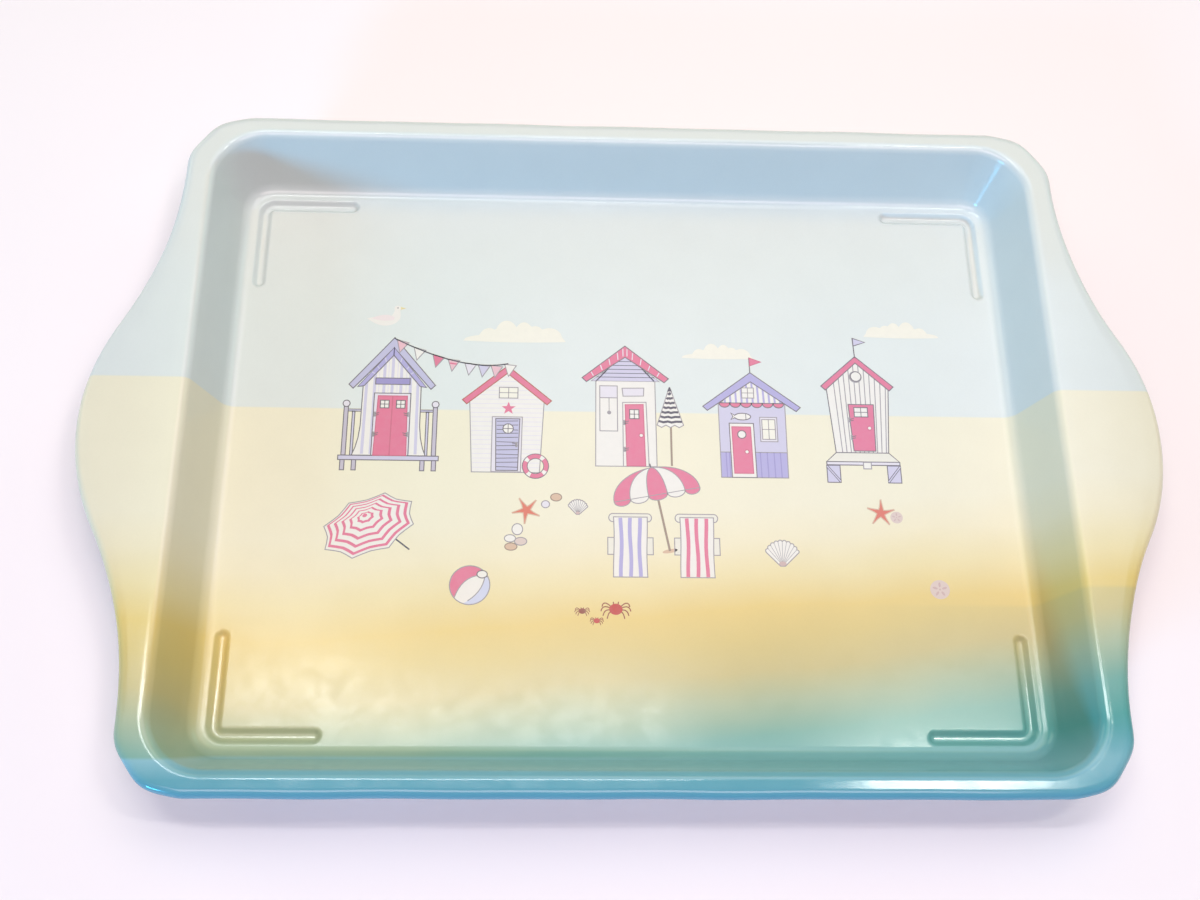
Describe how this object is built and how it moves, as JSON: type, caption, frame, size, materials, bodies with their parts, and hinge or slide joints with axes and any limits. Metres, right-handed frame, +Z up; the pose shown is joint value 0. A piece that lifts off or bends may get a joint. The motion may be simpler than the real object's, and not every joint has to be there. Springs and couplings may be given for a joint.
{
  "type": "serving tray",
  "caption": "Small rectangular tinplate serving tray with sloping walls, wide rounded grips, a rolled edge, pressed L-shaped feet and a printed seaside picture.",
  "frame": {"origin": "on the surface that the tray stands on, under the middle of the tray", "axes": "+X along the tray's length, grip to grip, +Y across it from the user's side to the far side, +Z up"},
  "size_m": [0.21, 0.14, 0.0153],
  "materials": {
    "printed_tinplate": "glossy varnish over offset print, pale sky to sand to sea green across the width",
    "ink_white": "glossy varnished ink",
    "ink_cream": "glossy varnished ink",
    "ink_lilac": "glossy varnished ink",
    "ink_pink": "glossy varnished ink",
    "ink_coral": "glossy varnished ink",
    "ink_sand": "glossy varnished ink"
  },
  "bodies": {
    "root": {"tray_pressing": "printed_tinplate", "print_bunting": "ink_pink", "print_life_ring": "ink_pink", "print_hut_porch": "ink_lilac", "print_hut_cream": "ink_cream", "print_hut_tiled": "ink_cream", "print_hut_lilac": "ink_lilac", "print_hut_raised": "ink_white", "print_clouds": "ink_cream", "print_gull": "ink_white", "print_parasol_closed": "ink_white", "print_parasol_open": "ink_pink", "print_parasol_tilted": "ink_pink", "print_deckchair_blue": "ink_lilac", "print_deckchair_pink": "ink_pink", "print_beach_ball": "ink_white", "print_starfish": "ink_coral", "print_shells": "ink_white", "print_pebbles": "ink_sand", "print_sand_dollars": "ink_sand", "print_crabs": "ink_coral"}
  },
  "joints": []
}
